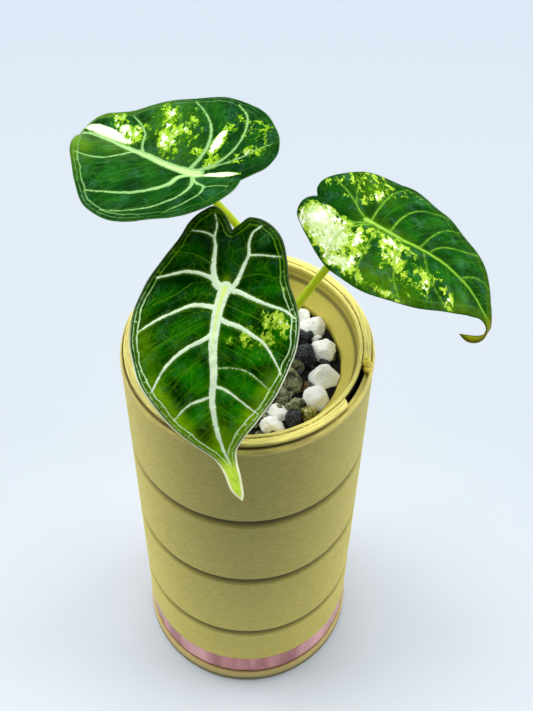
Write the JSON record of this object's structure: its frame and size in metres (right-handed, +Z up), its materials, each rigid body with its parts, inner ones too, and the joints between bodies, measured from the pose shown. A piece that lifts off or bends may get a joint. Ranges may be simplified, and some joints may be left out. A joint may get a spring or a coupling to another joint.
{
  "type": "potted alocasia",
  "caption": "Velvet-leaved variegated alocasia in a tall khaki self-watering planter with a hanging cup and a rose band.",
  "frame": {"origin": "centre of the pot's base, on the surface it stands on", "axes": "+Z up along the pot's axis, -Y towards the drip tip of the front leaf, +X towards the right leaf"},
  "size_m": [0.1459, 0.1213, 0.2798],
  "materials": {
    "khaki_print": "matt printed plastic with fine layer lines",
    "rose_foil": "glossy, lightly wrinkled",
    "mineral_grains": "dull, porous",
    "crown_skin": "dull plant skin",
    "stalk_green": "satin plant skin",
    "velvet_green": "velvety leaf with pale veins"
  },
  "bodies": {
    "root": {"outer_pot": "khaki_print", "rose_band": "rose_foil", "insert_cup": "khaki_print", "substrate": "mineral_grains", "crown": "crown_skin", "petiole_front": "stalk_green", "petiole_left": "stalk_green", "petiole_right": "stalk_green", "blade_front": "velvet_green", "blade_left": "velvet_green", "blade_right": "velvet_green"}
  },
  "joints": []
}
